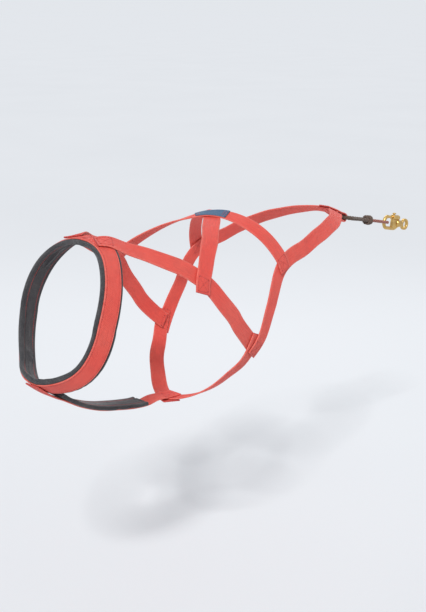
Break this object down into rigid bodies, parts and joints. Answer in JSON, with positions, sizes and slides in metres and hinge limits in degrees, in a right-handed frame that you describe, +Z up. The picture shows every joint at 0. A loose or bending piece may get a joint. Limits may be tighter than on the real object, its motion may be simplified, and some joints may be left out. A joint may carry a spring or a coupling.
{
  "type": "sled dog harness",
  "caption": "X-back pulling harness of padded webbing straps, shaped as worn, with a rope tug loop and a swivel bolt snap hooked into it.",
  "frame": {"origin": "on the wearer's back, under the crossing of the two back straps", "axes": "+X to the wearer's head, +Y to the wearer's left, +Z up"},
  "size_m": [0.9073, 0.2114, 0.283],
  "materials": {
    "webbing": "woven nylon, slightly sheeny",
    "lining": "soft napped lining",
    "keeper_webbing": "thin woven nylon",
    "tab_webbing": "woven nylon",
    "dark_rope": "braided rope, matte",
    "red_rope": "braided cord, matte",
    "snap_brass": "satin, worn"
  },
  "bodies": {
    "harness": {"neck_web_left": "webbing", "neck_web_right": "webbing", "breast_web": "webbing", "girth_web_left": "webbing", "girth_web_right": "webbing", "shoulder_web_left": "webbing", "shoulder_web_right": "webbing", "cross_web_left": "webbing", "cross_web_right": "webbing", "side_web_left": "webbing", "side_web_right": "webbing", "neck_pad_left": "lining", "neck_pad_right": "lining", "breast_pad": "lining", "cross_keeper": "keeper_webbing", "tail_tab": "tab_webbing"},
    "tug": {"tug_loop": "dark_rope", "tug_knot": "dark_rope", "tug_bight": "red_rope"},
    "snap": {"snap_body": "snap_brass"},
    "bolt": {"snap_bolt": "snap_brass"},
    "swivel": {"snap_swivel": "snap_brass"}
  },
  "joints": [
    {"name": "tug_swing", "type": "hinge", "parent": "harness", "child": "tug", "pos_m": [-0.33613, 0, -0.04948], "axis": [0, 1, 0], "range_deg": [-80, 55]},
    {"name": "snap_swing", "type": "hinge", "parent": "tug", "child": "snap", "pos_m": [-0.48285, 0, -0.08067], "axis": [0, 1, 0], "range_deg": [-60, 60]},
    {"name": "bolt_slide", "type": "slide", "parent": "snap", "child": "bolt", "axis": [-0.9781, 0, -0.2079], "range_m": [0, 0.009], "stiffness_N_per_m": 300, "springref_m": -0.004},
    {"name": "swivel_turn", "type": "hinge", "parent": "snap", "child": "swivel", "pos_m": [-0.53308, 0, -0.09134], "axis": [-0.9781, 0, -0.2079], "continuous": true}
  ]
}
